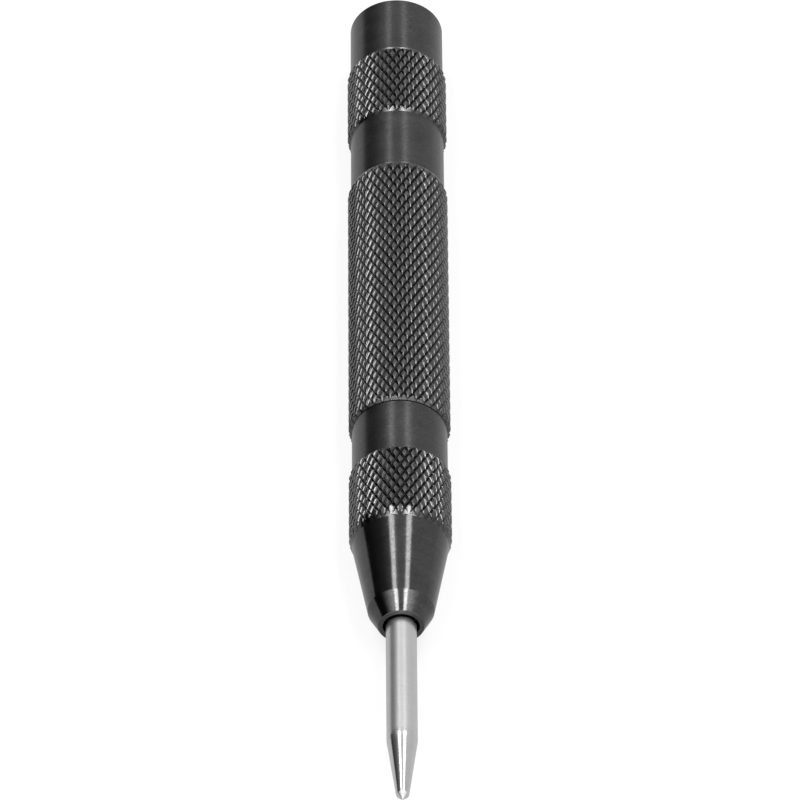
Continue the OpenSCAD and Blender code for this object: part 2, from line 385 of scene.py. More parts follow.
def maths(operation, *values, clamp=False):
    """The result of a Math node, of which at least one value is a link."""
    tree = next(value.tree for value in values if isinstance(value, Link))
    return output(tree, "ShaderNodeMath", dict(enumerate(values)), operation=operation, use_clamp=clamp)


def blend(factor, first, second):
    """The result of mixing two colours."""
    colours = {"Factor": factor, 6: first, 7: second}
    return output(factor.tree, "ShaderNodeMix", colours, key=2, data_type="RGBA")


def remap(value, low, high, new_low=0.0, new_high=1.0, kind="LINEAR"):
    """A value moved from one range to another, and kept inside it."""
    inputs = {"Value": value, "From Min": low, "From Max": high, "To Min": new_low, "To Max": new_high}
    return output(value.tree, "ShaderNodeMapRange", inputs, interpolation_type=kind)


def fade(value, limits, start=0.0, end=1.0):
    """A value that goes softly from start to end between two limits."""
    return remap(value, *limits, start, end, "SMOOTHSTEP")


def parts(vector):
    """The three coordinates of a place or a direction."""
    node = add_node(vector.tree, "ShaderNodeSeparateXYZ", {0: vector})
    return [Link(vector.tree, socket) for socket in node.outputs]


def new_tree(name, kind, inputs, results):
    """A node tree with named sockets, the links to its inputs, and the sockets of its results."""
    tree = bpy.data.node_groups.new(name, kind)
    for label, socket_type in inputs:
        tree.interface.new_socket(label, in_out="INPUT", socket_type=socket_type)
    for label, socket_type in results:
        tree.interface.new_socket(label, in_out="OUTPUT", socket_type=socket_type)
    source = outputs(tree, tree.nodes.new("NodeGroupInput"))
    target = tree.nodes.new("NodeGroupOutput").inputs
    return tree, source, target


def shape_tree(name, geometry, floats, finishes):
    """A geometry tree that makes a piece from sizes and finishes."""
    inputs = [(geometry, GEOMETRY)]
    inputs += [(label, FLOAT) for label in floats]
    inputs += [(label, MATERIAL) for label in finishes]
    return new_tree(name, "GeometryNodeTree", inputs, [("Piece", GEOMETRY)])


def turned_position(tree, axis_height):
    """Angle about the tool's axis in turns, and place along it."""
    x, y, z = parts(output(tree, "GeometryNodeInputPosition"))
    return maths("ARCTAN2", x, z - axis_height) / TURN, y


def at_radius(turns, y, radius, axis_height):
    """The place on a circle about the tool's axis."""
    angle = turns * TURN
    x = radius * maths("SINE", angle)
    z = radius * maths("COSINE", angle) + axis_height
    return output(turns.tree, "ShaderNodeCombineXYZ", {0: x, 1: y, 2: z})


def marked(tree, name):
    """The points that carry a mark."""
    return output(tree, "GeometryNodeInputNamedAttribute", {"Name": name}, data_type="BOOLEAN")


def off_whole(phase):
    """How far a phase is from the nearest whole number."""
    return maths("ABSOLUTE", phase - maths("ROUND", phase))


def end_limit(top, distance, drop, run):
    """The radius that a chamfer leaves at some distance from the end."""
    return distance * (drop / run) + (top - drop)


def moved(geometry, rows, position):
    """A geometry whose marked rows are moved, without instances."""
    inputs = {"Geometry": geometry, "Selection": rows, "Position": position}
    shifted = output(geometry.tree, "GeometryNodeSetPosition", inputs)
    return output(geometry.tree, "GeometryNodeRealizeInstances", {0: shifted})


def finished(geometry, finish, rows=True):
    """A geometry with a finish on all of it or on its marked rows."""
    inputs = {"Geometry": geometry, "Selection": rows, "Material": finish}
    return output(geometry.tree, "GeometryNodeSetMaterial", inputs)


def knurl_tree():
    """Cuts two sets of crossing grooves into the marked rows of a turned blank."""
    floats = ["Axis height", "Start", "Length", "Crest radius", "Grooves", "Diamond", "Slash depth",
              "Backslash depth", "Flank fall", "Flank curve", "Foot drop", "Foot run", "Top drop",
              "Top run"]
    tree, source, target = shape_tree("Diamond knurl", "Blank", floats, ["Knurl finish", "Plain finish"])
    turns, y = turned_position(tree, source["Axis height"])
    along = y - source["Start"]
    around = turns * source["Grooves"]
    climb = along / source["Diamond"]

    def groove(phase, depth):
        """Share of its depth that a groove cuts, which lies where the phase is a whole number."""
        climbed = off_whole(phase) * source["Flank fall"] / depth
        return maths("POWER", maths("SUBTRACT", 1.0, climbed, clamp=True), source["Flank curve"])

    slash = groove(around - climb, source["Slash depth"])
    backslash = groove(around + climb, source["Backslash depth"])
    crest = source["Crest radius"]
    cut = maths("MAXIMUM", slash * source["Slash depth"], backslash * source["Backslash depth"])
    foot = end_limit(crest, along, source["Foot drop"], source["Foot run"])
    top = end_limit(crest, source["Length"] - along, source["Top drop"], source["Top run"])
    radius = maths("MINIMUM", crest - cut, maths("MINIMUM", foot, top))
    height = 1.0 - maths("MAXIMUM", slash, backslash)

    # The height from groove to crest is stored for the knurled finish, which paints shade into the groove
    # bottoms by it, rubs the crests lighter and sets the roughness
    rows = marked(tree, KNURLED)
    values = {"Geometry": source["Blank"], "Selection": rows, "Name": CREST, "Value": height}
    stored = output(tree, "GeometryNodeStoreNamedAttribute", values, data_type="FLOAT", domain="POINT")
    cut_piece = moved(stored, rows, at_radius(turns, y, radius, source["Axis height"]))
    plain = finished(cut_piece, source["Plain finish"])
    feed(target["Piece"], finished(plain, source["Knurl finish"], rows))
    return tree


def thread_tree():
    """Cuts a right-hand screw thread into the marked rows of a turned blank."""
    floats = ["Axis height", "Start", "Length", "Radius", "Height", "Pitch", "Run out"]
    tree, source, target = shape_tree("Screw thread", "Blank", floats, ["Finish"])
    crest_share = 0.12
    root_share = 0.14
    turns, y = turned_position(tree, source["Axis height"])
    along = y - source["Start"]
    away = off_whole(along / source["Pitch"] - turns) * 2.0
    cut = remap(away, crest_share, 1.0 - root_share) * source["Height"]
    foot = end_limit(source["Radius"], along, source["Height"], source["Run out"])
    top = end_limit(source["Radius"], source["Length"] - along, source["Height"], source["Run out"])
    radius = maths("MINIMUM", source["Radius"] - cut, maths("MINIMUM", foot, top))
    rows = marked(tree, THREADED)
    cut_piece = moved(source["Blank"], rows, at_radius(turns, y, radius, source["Axis height"]))
    feed(target["Piece"], finished(cut_piece, source["Finish"], rows))
    return tree


def coil_tree():
    """Winds a round wire between two ends, with one close turn at each."""
    floats = ["Axis height", "Low end", "High end", "Low radius", "High radius", "Wire radius", "Turns",
              "Close rise"]
    tree, source, target = shape_tree("Spring coil", "Start", floats, ["Finish"])
    rings_per_turn = 40
    wire_sides = 14
    spiral = output(tree, "GeometryNodeCurveSpiral",
                    {"Resolution": rings_per_turn, "Rotations": source["Turns"],
                     "Start Radius": source["Low radius"], "End Radius": source["High radius"],
                     "Height": 1.0})
    done = output(tree, "GeometryNodeSplineParameter", key="Factor")
    turn = done * source["Turns"]
    first = maths("MINIMUM", turn, 1.0)
    last = maths("MAXIMUM", turn - (source["Turns"] - 1.0), 0.0)
    middle = turn - first - last
    room = source["High end"] - source["Low end"]
    room = room - source["Wire radius"] * 2.0 - source["Close rise"] * 2.0
    open_rise = room / (source["Turns"] - 2.0)
    rise = (first + last) * source["Close rise"] + middle * open_rise
    along = source["Low end"] + source["Wire radius"] + rise
    radius = done * (source["High radius"] - source["Low radius"]) + source["Low radius"]
    path = at_radius(turn, along, radius, source["Axis height"])
    wound = output(tree, "GeometryNodeSetPosition", {"Geometry": spiral, "Position": path})
    section = output(tree, "GeometryNodeCurvePrimitiveCircle",
                     {"Resolution": wire_sides, "Radius": source["Wire radius"]})
    wire = output(tree, "GeometryNodeCurveToMesh",
                  {"Curve": wound, "Profile Curve": section, "Fill Caps": True})
    real = output(tree, "GeometryNodeRealizeInstances", {0: wire})
    feed(target["Piece"], finished(real, source["Finish"]))
    return tree


def once(store, name, make):
    """A tree or material that is made the first time it is asked for."""
    return store.get(name) or make()


def run_tree(context, piece, tree, values):
    """Runs a geometry tree on a piece and keeps the result as its plain mesh."""
    modifier = piece.modifiers.new(tree.name, "NODES")
    modifier.node_group = tree
    for socket in tree.interface.items_tree:
        if socket.in_out == "INPUT" and socket.name in values:
            modifier[socket.identifier] = values[socket.name]
    depsgraph = context.evaluated_depsgraph_get()
    grown = bpy.data.meshes.new_from_object(piece.evaluated_get(depsgraph), depsgraph=depsgraph,
                                            preserve_all_data_layers=True)
    piece.modifiers.remove(modifier)
    if not grown.polygons:
        raise RuntimeError(f"{tree.name} made nothing for {piece.name}")
    grown.name = piece.name
    piece.data = grown


# Turned meshes

# Length of the outline that spans the UV map
UV_LENGTH = 50 * MM
# Distance from a knurl of the row that keeps its shading off the plain surface before it
HOLD = 0.05 * MM
# Mesh steps of a rounded corner, and the share of its reach that a row on each side stands off it
CORNER_STEPS = 5
CORNER_HOLD = 0.3
# Edges that are sharper than this stay sharp
SMOOTH_ANGLE = radians(30)


def rounded(corners):
    """An outline of places and radii in which each corner is rounded by its third number."""
    outline = []
    for index, (y, r, fillet) in enumerate(corners):
        here = Vector((y, r))
        if not fillet:
            outline.append(here)
            continue
        back = (Vector(corners[index - 1][:2]) - here).normalized()
        ahead = (Vector(corners[index + 1][:2]) - here).normalized()
        half = back.angle(ahead) / 2
        reach = fillet / tan(half)
        centre = here + (back + ahead).normalized() * (fillet / sin(half))
        first = here + back * reach - centre
        last = here + ahead * reach - centre
        sweep = first.angle_signed(last)
        stand_off = reach * (1 + CORNER_HOLD)
        outline.append(here + back * stand_off)
        for step in range(CORNER_STEPS + 1):
            turn = -sweep * step / CORNER_STEPS
            outline.append(centre + Vector((first.x * cos(turn) - first.y * sin(turn),
                                            first.x * sin(turn) + first.y * cos(turn))))
        outline.append(here + ahead * stand_off)
    return outline


def even_rows(start, end, radius, rows):
    """Rows of one radius, evenly spaced from start to end."""
    return [Vector((start + (end - start) * row / rows, radius)) for row in range(rows + 1)]


class Band:
    """Evenly spaced rows of a turned mesh that a tree will shape."""

    def __init__(self, mark, start, end, radius, row_height, knurl=None):
        self.mark = mark
        self.start = start
        self.length = end - start
        self.rows = max(2, round(self.length / row_height))
        self.outline = even_rows(start, end, radius, self.rows)
        self.knurl = knurl

    def split(self, corners, column, row):
        """Two triangles, split along the groove that is the deeper one at this place."""
        a, b, c, d = corners
        pitch = self.knurl.mesh_steps
        slash = self.knurl.slash_share * pitch - steps_to_groove(column - row, pitch)
        backslash = self.knurl.backslash_share * pitch - steps_to_groove(column + row + 1, pitch)
        if backslash > slash:
            return [[a, b, d], [b, c, d]]
        return [[a, b, c], [a, c, d]]


def steps_to_groove(place_in_rows, pitch):
    """Steps to the nearest groove of one set."""
    return abs((place_in_rows + pitch // 2) % pitch - pitch // 2)


def turned_piece(context, name, stretches, columns, closed=False):
    """A mesh turned about the tool's axis from stretches of outline, bands among them.

    The outline runs towards the cap on the outside, so that faces point outwards.
    """
    outline = []
    bands = []
    band_rows = []
    for stretch in stretches:
        band = stretch if isinstance(stretch, Band) else None
        points = band.outline if band else stretch
        outline += points
        bands += [band] * len(points)
        band_rows += range(len(points))
    path = np.cumsum([0.0] + [(b - a).length for a, b in zip(outline, outline[1:])])
    turn = TURN * np.arange(columns) / columns
    firsts = []
    points = []
    for y, r in outline:
        firsts.append(len(points))
        if r < MICRON:
            points.append((0.0, y, AXIS_Z))
        else:
            points += zip(r * np.sin(turn), np.full(columns, y), AXIS_Z + r * np.cos(turn))
    faces = []
    uvs = []
    pairs = list(zip(range(len(outline)), range(1, len(outline))))
    if closed:
        pairs.append((len(outline) - 1, 0))
    for low, high in pairs:
        band = bands[low]
        knurled = band is not None and band.knurl is not None and bands[high] is band
        u_low = path[low] / UV_LENGTH
        u_high = path[high] / UV_LENGTH
        for i in range(columns):
            a, b = firsts[low] + i, firsts[low] + (i + 1) % columns
            d, c = firsts[high] + i, firsts[high] + (i + 1) % columns
            corners = [(a, u_low, i), (b, u_low, i + 1), (c, u_high, i + 1), (d, u_high, i)]
            if outline[low].y < MICRON:
                corners = [(firsts[low], u_low, i + 0.5), *corners[2:]]
            elif outline[high].y < MICRON:
                corners = [*corners[:2], (firsts[high], u_high, i + 0.5)]
            pieces = band.split(corners, i, band_rows[low]) if knurled else [corners]
            for piece in pieces:
                faces.append([corner[0] for corner in piece])
                uvs += [(corner[1], corner[2] / columns) for corner in piece]
    mesh = bpy.data.meshes.new(name)
    mesh.from_pydata(points, [], faces)
    layer = mesh.uv_layers.new(name=UV_NAME)
    layer.data.foreach_set("uv", np.array(uvs).ravel())
    for band in [stretch for stretch in stretches if isinstance(stretch, Band)]:
        flags = np.concatenate([np.full(1 if r < MICRON else columns, found is band)
                                for (_, r), found in zip(outline, bands)])
        mesh.attributes.new(band.mark, "BOOLEAN", "POINT").data.foreach_set("value", flags)
    piece = bpy.data.objects.new(name, mesh)
    context.scene.collection.objects.link(piece)
    return piece


def finish_piece(piece, body, node):
    """Shades a piece, lets it ride on its body and stand for its CAD node."""
    piece.data.shade_smooth()
    piece.data.set_sharp_from_angle(angle=SMOOTH_ANGLE)
    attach(piece, body)
    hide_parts(node)


def groove_count(knurl):
    """Grooves of one hand around the tool."""
    return round(TURN * KNURL_RADIUS * cos(knurl.angle) / knurl.pitch)


def diamond_height(knurl):
    """Length of one diamond along the tool."""
    return TURN * KNURL_RADIUS / groove_count(knurl) / tan(knurl.angle)


def knurl_columns(context, sizes):
    """Mesh columns around a knurled piece, so that grooves run through mesh points."""
    return groove_count(context.scene.punch_knurl) * sizes.mesh_steps


def knurl_band(context, start, end, sizes):
    """The rows of a knurled band, spaced so that grooves run through mesh points."""
    row_height = diamond_height(context.scene.punch_knurl) / sizes.mesh_steps
    return Band(KNURLED, start, end, KNURL_RADIUS, row_height, sizes)


def thread_band(context, start, end):
    """The rows of a screw thread."""
    thread = context.scene.punch_thread
    return Band(THREADED, start, end, thread.radius, thread.pitch / thread.turn_rows)


def cut_knurl(context, piece, band, sizes):
    """Knurls one band of a piece. The fall is how far a flank drops over one pitch."""
    knurl = context.scene.punch_knurl
    pitch = TURN * KNURL_RADIUS * cos(knurl.angle) / groove_count(knurl)
    fall = pitch / tan(knurl.groove_angle / 2)
    values = {
        "Axis height": AXIS_Z,
        "Start": band.start,
        "Length": band.length,
        "Crest radius": KNURL_RADIUS,
        "Grooves": float(groove_count(knurl)),
        "Diamond": band.length / band.rows * sizes.mesh_steps,
        "Slash depth": fall * sizes.slash_share,
        "Backslash depth": fall * sizes.backslash_share,
        "Flank fall": fall,
        "Flank curve": knurl.flank_curve,
        "Foot drop": sizes.foot_drop,
        "Foot run": sizes.foot_run,
        "Top drop": sizes.top_drop,
        "Top run": sizes.top_run,
        "Knurl finish": once(bpy.data.materials, KNURLED_STEEL, knurled_steel),
        "Plain finish": once(bpy.data.materials, TURNED_STEEL, turned_steel),
    }
    run_tree(context, piece, once(bpy.data.node_groups, "Diamond knurl", knurl_tree), values)


def cut_thread(context, piece, band):
    """Threads one band of a piece."""
    thread = context.scene.punch_thread
    values = {
        "Axis height": AXIS_Z,
        "Start": band.start,
        "Length": band.length,
        "Radius": thread.radius,
        "Height": thread.height,
        "Pitch": thread.pitch,
        "Run out": thread.height,
        "Finish": once(bpy.data.materials, TURNED_STEEL, turned_steel),
    }
    run_tree(context, piece, once(bpy.data.node_groups, "Screw thread", thread_tree), values)


# Finishes

# Roughness before the rings and patches of a finish add to it
CONE_ROUGHNESS = 0.07
LAND_ROUGHNESS = 0.17
FLANK_ROUGHNESS = 0.11
CREST_ROUGHNESS = 0.2
TAPER_ROUGHNESS = 0.1
SHANK_ROUGHNESS = 0.27
INNER_ROUGHNESS = 0.22
# Values of the grain between which it turns from light to dark
GRAIN_FADE = (0.35, 0.65)
# Values of the noise between which a patch turns from thick to thin
CLOUD_FADE = (0.3, 0.7)
# Anisotropic Rotation of a surface whose reflections spread around it
QUARTER_TURN = 0.25


def noise(tree, inputs, dimensions="3D"):
    """The result of a noise texture."""
    return output(tree, "ShaderNodeTexNoise", inputs, noise_dimensions=dimensions)


def on_piece(tree):
    """The place on the piece, in metres."""
    return output(tree, "ShaderNodeTexCoord", key="Object")


def lathe_marks():
    """Shader group: fine rings left by the tool, as a height and a slower variation."""
    tree, source, target = new_tree("Lathe marks", "ShaderNodeTree",
                                    [("Spacing", FLOAT), ("Wander", FLOAT)],
                                    [("Height", FLOAT), ("Variation", FLOAT)])
    here = on_piece(tree)
    x, y, z = parts(here)
    up = z - AXIS_Z
    along = y + maths("SQRT", x * x + up * up)
    drift = noise(tree, {"Vector": here, "Scale": 120.0, "Detail": 1.0})
    step = (drift * source["Wander"] + along) / source["Spacing"]
    fine = {"W": step, "Scale": 1.0, "Detail": 3.0, "Roughness": 0.65}
    slow = {"W": step, "Scale": 0.12, "Detail": 2.0}
    feed(target["Height"], noise(tree, fine, "1D"))
    feed(target["Variation"], noise(tree, slow, "1D"))
    return tree


def oxide_film():
    """Shader group: cloudy patches of a finish, tiny bright specks in it, and its grain."""
    tree, source, target = new_tree("Oxide film", "ShaderNodeTree",
                                    [("Patch size", FLOAT), ("Speck size", FLOAT), ("Speck share", FLOAT)],
                                    [("Cloud", FLOAT), ("Specks", FLOAT), ("Grain", FLOAT)])
    densest = 0.8
    speck_edge = 0.06
    here = on_piece(tree)
    cloud = noise(tree, {"Vector": here, "Scale": 1.0 / source["Patch size"], "Detail": 4.0,
                         "Roughness": 0.6})
    grain = noise(tree, {"Vector": here, "Scale": 1.0 / source["Speck size"], "Detail": 1.0,
                         "Roughness": 0.5})
    edge = densest - source["Speck share"]
    feed(target["Cloud"], remap(cloud, *CLOUD_FADE))
    feed(target["Specks"], remap(grain, edge, edge + speck_edge))
    feed(target["Grain"], grain)
    return tree


def group(tree, name, make, values):
    """Places a shader group in a material, with its own values."""
    made = once(bpy.data.node_groups, name, make)
    return outputs(tree, add_node(tree, "ShaderNodeGroup", values, node_tree=made))


def rings_on(tree, spacing, wander):
    """The lathe's rings in a material."""
    return group(tree, "Lathe marks", lathe_marks, {"Spacing": spacing, "Wander": wander})


def film_on(tree, patch, speck, speck_share):
    """The oxide film in a material."""
    values = {"Patch size": patch, "Speck size": speck, "Speck share": speck_share}
    return group(tree, "Oxide film", oxide_film, values)


def metal(name):
    """An empty metal material: the material, its tree and its shader's inputs."""
    material = bpy.data.materials.new(name)
    material.use_nodes = True
    tree = material.node_tree
    shader = tree.nodes["Principled BSDF"].inputs
    shader["Metallic"].default_value = 1.0
    return material, tree, shader


def spread_along(tree, shader, amount):
    """Spreads reflections along the tool, as rings from turning do."""
    tangent = output(tree, "ShaderNodeTangent", direction_type="UV_MAP", uv_map=UV_NAME)
    shader["Anisotropic"].default_value = amount
    feed(shader["Tangent"], tangent)


def tone(rings, film, ring_share):
    """Light and dark, by one share from the rings and for the rest from the film's patches."""
    return rings["Variation"] * ring_share + film["Cloud"] * (1 - ring_share)


def bump(shader, height, depth):
    """Raises the surface by a height times a depth."""
    inputs = {"Height": height, "Distance": depth, "Strength": 1.0}
    feed(shader["Normal"], output(height.tree, "ShaderNodeBump", inputs))


def turned_steel():
    """Blackened steel with fine turning rings, clouds and specks."""
    finish = bpy.context.scene.punch_finish
    nose = bpy.context.scene.punch_nosepiece
    material, tree, shader = metal(TURNED_STEEL)
    rings = rings_on(tree, spacing=0.14 * MM, wander=0.03 * MM)
    film = film_on(tree, patch=2.2 * MM, speck=0.2 * MM, speck_share=0.02)
    grain_dark = 0.3
    speck_light = 0.6
    ring_dullness = 0.1
    patch_dullness = 0.05
    grain_height = 0.35
    base = blend(tone(rings, film, ring_share=0.5), finish.thick_oxide, finish.oxide)
    base = blend(remap(film["Grain"], *GRAIN_FADE, 0.0, grain_dark), base, finish.groove_shade_and_grain)
    base = blend(film["Specks"] * speck_light, base, finish.rubbed)
    feed(shader["Base Color"], base)
    cone_top = NOSE_LIP + nose.short_cone + nose.long_cone
    dullness = remap(parts(on_piece(tree))[1], cone_top, cone_top + nose.knurl_length,
                     CONE_ROUGHNESS, LAND_ROUGHNESS)
    feed(shader["Roughness"], rings["Height"] * ring_dullness + film["Cloud"] * patch_dullness + dullness)
    bump(shader, film["Grain"] * grain_height + rings["Height"], depth=2.4 * MICRON)
    spread_along(tree, shader, amount=0.5)
    return material


def knurled_steel():
    """Blackened steel with painted shade in the bottoms of its grooves and crests that are rubbed a little
    brighter.
    """
    finish = bpy.context.scene.punch_finish
    material, tree, shader = metal(KNURLED_STEEL)
    crest = output(tree, "ShaderNodeAttribute", key="Fac", attribute_name=CREST)
    film = film_on(tree, patch=1.4 * MM, speck=0.14 * MM, speck_share=0.05)
    # Height below which painted shade fills the bottoms of the grooves
    groove_shade_edge = 0.2
    top_edge = 0.8
    dull_edge = 0.85
    grain_dark = 0.35
    crest_light = 0.7
    speck_light = 0.5
    grain_dullness = 0.06
    base = blend(film["Cloud"], finish.thick_oxide, finish.oxide)
    base = blend(remap(film["Grain"], *GRAIN_FADE, 0.0, grain_dark), base, finish.groove_shade_and_grain)
    # Painted shade: the lowest part of each groove, found by the knurl's height, is blended to the dark
    # colour
    base = blend(remap(crest, 0.0, groove_shade_edge), finish.groove_shade_and_grain, base)
    worn = remap(crest, top_edge, 1.0) * (film["Grain"] * crest_light)
    base = blend(maths("MAXIMUM", worn, film["Specks"] * speck_light), base, finish.rubbed)
    feed(shader["Base Color"], base)
    dullness = remap(crest, dull_edge, 1.0, FLANK_ROUGHNESS, CREST_ROUGHNESS)
    feed(shader["Roughness"], film["Grain"] * grain_dullness + dullness)
    bump(shader, film["Grain"], depth=2 * MICRON)
    return material


def ground_steel():
    """Bright steel, ground round."""
    finish = bpy.context.scene.punch_finish
    point = bpy.context.scene.punch_point
    material, tree, shader = metal(GROUND_STEEL)
    rings = rings_on(tree, spacing=0.05 * MM, wander=0.05 * MM)
    film = film_on(tree, patch=1.5 * MM, speck=0.12 * MM, speck_share=0.0)
    ring_dullness = 0.08
    base = blend(tone(rings, film, ring_share=0.6), finish.dull_ground, finish.ground)
    feed(shader["Base Color"], base)
    taper_end = POINT_TIP + point.tip_length + point.taper
    dullness = remap(parts(on_piece(tree))[1], taper_end - MM, taper_end + MM,
                     TAPER_ROUGHNESS, SHANK_ROUGHNESS)
    feed(shader["Roughness"], rings["Height"] * ring_dullness + dullness)
    bump(shader, rings["Height"], depth=1.2 * MICRON)
    spread_along(tree, shader, amount=0.6)
    shader["Anisotropic Rotation"].default_value = QUARTER_TURN
    return material


def hardened_steel():
    """Grey hardened steel of the pieces inside the tool."""
    finish = bpy.context.scene.punch_finish
    material, tree, shader = metal(HARDENED_STEEL)
    rings = rings_on(tree, spacing=0.12 * MM, wander=0.02 * MM)
    film = film_on(tree, patch=2.0 * MM, speck=0.12 * MM, speck_share=0.02)
    ring_dullness = 0.15
    base = blend(tone(rings, film, ring_share=0.5), finish.spring, finish.hardened)
    feed(shader["Base Color"], base)
    feed(shader["Roughness"], rings["Height"] * ring_dullness + INNER_ROUGHNESS)
    bump(shader, rings["Height"], depth=2.0 * MICRON)
    return material


def spring_steel():
    """Drawn wire with a thin film of oil."""
    finish = bpy.context.scene.punch_finish
    material, tree, shader = metal(SPRING_STEEL)
    film = film_on(tree, patch=0.9 * MM, speck=0.1 * MM, speck_share=0.03)
    grain_dullness = 0.15
    feed(shader["Base Color"], blend(film["Cloud"], finish.oxide, finish.spring))
    feed(shader["Roughness"], film["Grain"] * grain_dullness + INNER_ROUGHNESS)
    bump(shader, film["Grain"], depth=2.5 * MICRON)
    return material


# Pieces

class PUNCH_OT_barrel(bpy.types.Operator):
    """Build the knurled barrel"""

    bl_idname = "punch.barrel"
    bl_label = "Barrel"

    def execute(self, context):
        sizes = context.scene.punch_barrel
        thread = context.scene.punch_thread
        band = knurl_band(context, BARREL_LOW, BARREL_HIGH, sizes)
        female = thread.radius + thread.gap
        lead = sizes.bore_lead
        bush_seat = radius_of("release_bush") + 2 * thread.gap
        hammer_bore = radius_of("hammer") + 2 * thread.gap
        inside = rounded([
            (BARREL_HIGH, female + lead, 0), (BARREL_HIGH - lead, female, 0),
            (CAP_SPIGOT_END - lead, female, 0), (CAP_SPIGOT_END - lead, hammer_bore, 0),
            (BUSH_TOP, hammer_bore, 0), (BUSH_TOP, bush_seat, 0),
            (NOSE_SPIGOT_END, bush_seat, 0), (NOSE_SPIGOT_END, female, 0),
            (BARREL_LOW + lead, female, 0), (BARREL_LOW, female + lead, 0)])
        columns = knurl_columns(context, sizes)
        piece = turned_piece(context, "knurled_barrel", [band, inside], columns, True)
        cut_knurl(context, piece, band, sizes)
        finish_piece(piece, "housing", "barrel")
        return {"FINISHED"}


class PUNCH_OT_nosepiece(bpy.types.Operator):
    """Build the nosepiece with its cones, knurled band and collar"""

    bl_idname = "punch.nosepiece"
    bl_label = "Nosepiece"

    def execute(self, context):
        sizes = context.scene.punch_nosepiece
        thread = context.scene.punch_thread
        land = KNURL_RADIUS - context.scene.punch_knurl.land_drop
        core = thread.radius - thread.height
        bore = radius_of("plunger") + 2 * thread.gap
        guide = radius_of("punch_point") + thread.gap
        mouth_end = NOSE_LIP + sizes.mouth_depth
        cone_top = NOSE_LIP + sizes.short_cone + sizes.long_cone
        knurl_top = cone_top + sizes.knurl_length
        collar_end = BARREL_LOW - sizes.seam
        below_top = land - (land - sizes.cone_radius) * HOLD / sizes.long_cone
        nose = rounded([
            (NOSE_LIP, sizes.mouth_radius + sizes.mouth_lead, 0),
            (NOSE_LIP, sizes.lip_radius, sizes.lip_round),
            (NOSE_LIP + sizes.short_cone, sizes.cone_radius, sizes.cone_round),
            (cone_top - HOLD, below_top, 0), (cone_top, land, 0)])
        band = knurl_band(context, cone_top, knurl_top, sizes)
        collar = rounded([
            (knurl_top, land, 0), (collar_end, land, sizes.collar_round),
            (collar_end, core, 0), (BARREL_LOW + thread.relief, core, 0)])
        screw = thread_band(context, BARREL_LOW + thread.relief, NOSE_SPIGOT_END)
        inside = rounded([
            (NOSE_SPIGOT_END, core, 0), (NOSE_SPIGOT_END, bore, 0), (PLUNGER_SEAT, bore, 0),
            (PLUNGER_SEAT, guide, 0), (mouth_end + sizes.guide_lead, guide, 0),
            (mouth_end, sizes.mouth_radius, 0), (NOSE_LIP + sizes.mouth_lead, sizes.mouth_radius, 0)])
        stretches = [nose, band, collar, screw, inside]
        columns = knurl_columns(context, sizes)
        piece = turned_piece(context, "turned_nosepiece", stretches, columns, True)
        cut_knurl(context, piece, band, sizes)
        cut_thread(context, piece, screw)
        finish_piece(piece, "housing", "nosepiece")
        return {"FINISHED"}


class PUNCH_OT_cap(bpy.types.Operator):
    """Build the screwed cap"""

    bl_idname = "punch.cap"
    bl_label = "Cap"

    def execute(self, context):
        sizes = context.scene.punch_cap
        thread = context.scene.punch_thread
        land = KNURL_RADIUS - context.scene.punch_knurl.land_drop
        core = thread.radius - thread.height
        bore = radius_of("spring_seat") + 2 * thread.gap
        bore_end = SPRING_SEAT_TOP + thread.gap
        shoulder = BARREL_HIGH + sizes.seat_gap
        knurl_top = CAP_TOP - sizes.head_length
        knurl_foot = knurl_top - sizes.knurl_length
        neck = land - sizes.neck_depth
        neck_top = knurl_top + sizes.neck_length
        inside = rounded([
            (bore_end, 0, 0), (bore_end, bore, 0), (CAP_SPIGOT_END, bore, 0),
            (CAP_SPIGOT_END, core, 0)])
        screw = thread_band(context, CAP_SPIGOT_END, BARREL_HIGH - thread.relief)
        land_part = rounded([
            (BARREL_HIGH - thread.relief, core, 0), (shoulder, core, 0),
            (shoulder, land, sizes.land_round), (knurl_foot - HOLD, land, 0), (knurl_foot, land, 0)])
        band = knurl_band(context, knurl_foot, knurl_top, sizes)
        head = rounded([
            (knurl_top, neck, 0), (neck_top, neck, 0), (neck_top + sizes.neck_rise, land, 0),
            (CAP_TOP, land, sizes.head_round), (CAP_TOP, 0, 0)])
        stretches = [inside, screw, land_part, band, head]
        columns = knurl_columns(context, sizes)
        piece = turned_piece(context, "screw_cap", stretches, columns)
        cut_knurl(context, piece, band, sizes)
        cut_thread(context, piece, screw)
        finish_piece(piece, "cap", "cap")
        return {"FINISHED"}


class PUNCH_OT_point(bpy.types.Operator):
    """Build the bright point"""

    bl_idname = "punch.point"
    bl_label = "Point"

    def execute(self, context):
        sizes = context.scene.punch_point
        radius = radius_of("punch_point")
        neck = radius - sizes.neck_depth
        neck_start = NOSE_LIP - sizes.neck_lead
        neck_end = NOSE_LIP + context.scene.punch_nosepiece.mouth_depth
        taper_end = POINT_TIP + sizes.tip_length + sizes.taper
        outline = rounded([
            (POINT_TIP, 0, 0), (POINT_TIP, sizes.end_radius, 0),
            (POINT_TIP + sizes.tip_length, sizes.tip_radius, sizes.tip_round),
            (taper_end, radius, sizes.taper_round),
            (neck_start, radius, 0), (neck_start + sizes.neck_depth, neck, 0),
            (neck_end - sizes.neck_depth, neck, 0), (neck_end, radius, 0),
            (PLUNGER_SEAT, radius, 0), (PLUNGER_SEAT, sizes.shank_radius, 0),
            (POINT_END, sizes.shank_radius, 0), (POINT_END, 0, 0)])
        piece = turned_piece(context, "ground_point", [outline], sizes.columns)
        piece.data.materials.append(once(bpy.data.materials, GROUND_STEEL, ground_steel))
        finish_piece(piece, "point_carrier", "punch_point")
        return {"FINISHED"}


